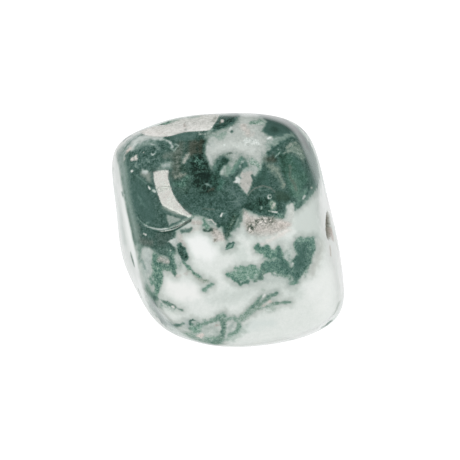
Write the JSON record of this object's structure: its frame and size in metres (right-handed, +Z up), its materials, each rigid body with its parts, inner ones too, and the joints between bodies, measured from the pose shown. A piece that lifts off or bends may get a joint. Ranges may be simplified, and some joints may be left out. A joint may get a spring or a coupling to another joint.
{
  "type": "tumbled stone",
  "caption": "Polished tree agate tumbled stone: a small rounded block of white quartz with green moss-like growths, resting on a flat worn face.",
  "frame": {"origin": "on the resting surface, under the middle of the stone's outline", "axes": "+Z up from the face it rests on; the broad patterned face looks up and towards -Y, at about 65 degrees above the surface; +X to the right of someone looking at that face"},
  "size_m": [0.0256, 0.0256, 0.0181],
  "materials": {
    "tree_agate": "polished"
  },
  "bodies": {
    "root": {"stone": "tree_agate"}
  },
  "joints": []
}
